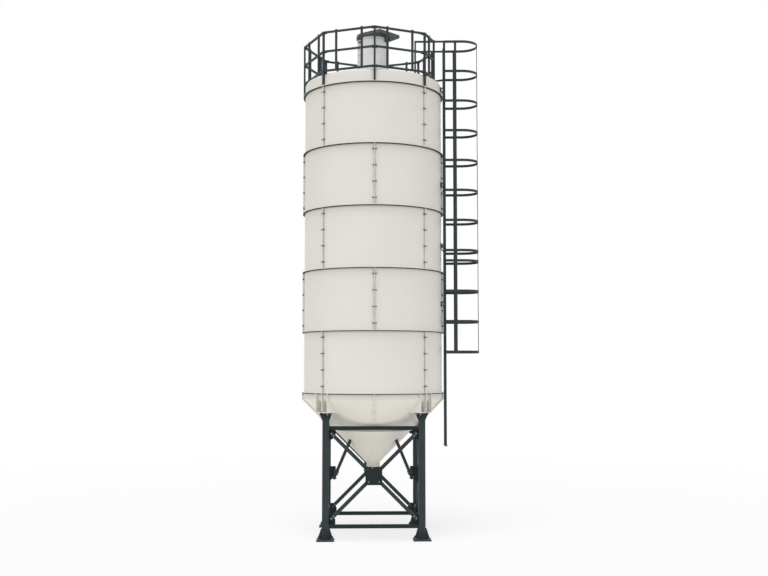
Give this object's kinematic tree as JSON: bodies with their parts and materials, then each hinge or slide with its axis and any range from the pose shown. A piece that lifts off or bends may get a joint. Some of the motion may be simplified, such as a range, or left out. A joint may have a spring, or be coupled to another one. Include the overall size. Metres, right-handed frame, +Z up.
{
  "type": "bolted cement silo",
  "caption": "Bolted-panel cement silo on a braced steel frame, with a conical hopper, outlet flange, roof dust filter, guardrail and caged ladder.",
  "frame": {"origin": "on the ground under the middle of the silo, level with the undersides of the foot plates", "axes": "+Z up, +X to the ladder side, -Y to the front"},
  "size_m": [3.8599, 3.09, 10.9453],
  "materials": {
    "shell_paint": "satin",
    "frame_paint": "satin",
    "filter_paint": "satin"
  },
  "bodies": {
    "root": {"back_diagonals": "frame_paint", "cage_hoops_lower": "frame_paint", "cage_hoops_upper": "frame_paint", "cage_straps_lower": "frame_paint", "cage_straps_upper": "frame_paint", "corner_gussets": "frame_paint", "filter_base": "filter_paint", "filter_body": "filter_paint", "filter_lid": "frame_paint", "front_diagonals": "frame_paint", "guardrail_back_left": "frame_paint", "guardrail_back_right": "frame_paint", "guardrail_front_left": "frame_paint", "guardrail_front_right": "frame_paint", "guardrail_left_back": "frame_paint", "guardrail_left_front": "frame_paint", "guardrail_posts": "frame_paint", "guardrail_right_back": "frame_paint", "guardrail_right_front": "frame_paint", "handrails": "frame_paint", "hopper_cone": "shell_paint", "hopper_segments": "shell_paint", "hopper_struts": "frame_paint", "ladder_brackets": "frame_paint", "ladder_lower": "frame_paint", "ladder_upper": "frame_paint", "left_diagonals": "frame_paint", "leg_back_left": "frame_paint", "leg_back_right": "frame_paint", "leg_front_left": "frame_paint", "leg_front_right": "frame_paint", "leg_seats": "shell_paint", "lower_ties": "frame_paint", "middle_gussets": "frame_paint", "outlet_flange": "frame_paint", "right_diagonals": "frame_paint", "roof_cap": "shell_paint", "roof_hatch": "shell_paint", "shell_ring_1": "shell_paint", "shell_ring_2": "shell_paint", "shell_ring_3": "shell_paint", "shell_ring_4": "shell_paint", "shell_ring_5": "shell_paint", "upper_ties": "frame_paint"}
  },
  "joints": []
}
